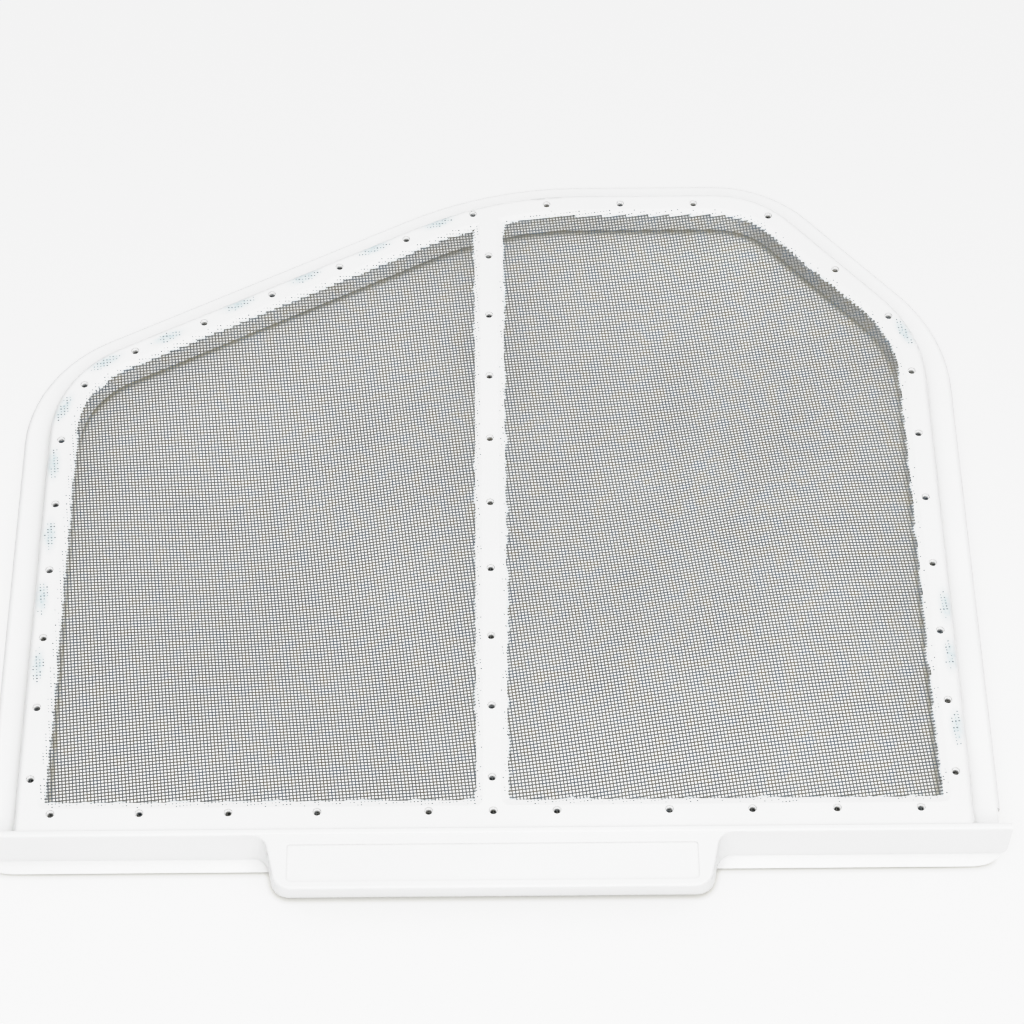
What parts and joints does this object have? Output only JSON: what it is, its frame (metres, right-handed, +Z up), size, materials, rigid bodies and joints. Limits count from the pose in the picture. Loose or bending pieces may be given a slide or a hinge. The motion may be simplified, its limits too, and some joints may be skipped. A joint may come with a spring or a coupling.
{
  "type": "tumble dryer lint filter",
  "caption": "Flat white moulded frame with a centre rib, a dark woven screen moulded in, an outer rim flange, and a cover plate with a grip tab along one edge.",
  "frame": {"origin": "under the middle of the part's box, at the level of the grip's foot", "axes": "+Z up out of the screen's band face, +Y away from the grip, towards the end that goes into the slot first, +X along the cover plate"},
  "size_m": [0.33, 0.2902, 0.0192],
  "materials": {
    "white_plastic": "satin, lightly mould-textured",
    "screen_weave": "woven monofilament, dark charcoal"
  },
  "bodies": {
    "root": {"moulded_frame": "white_plastic", "screen_mesh": "screen_weave"}
  },
  "joints": []
}
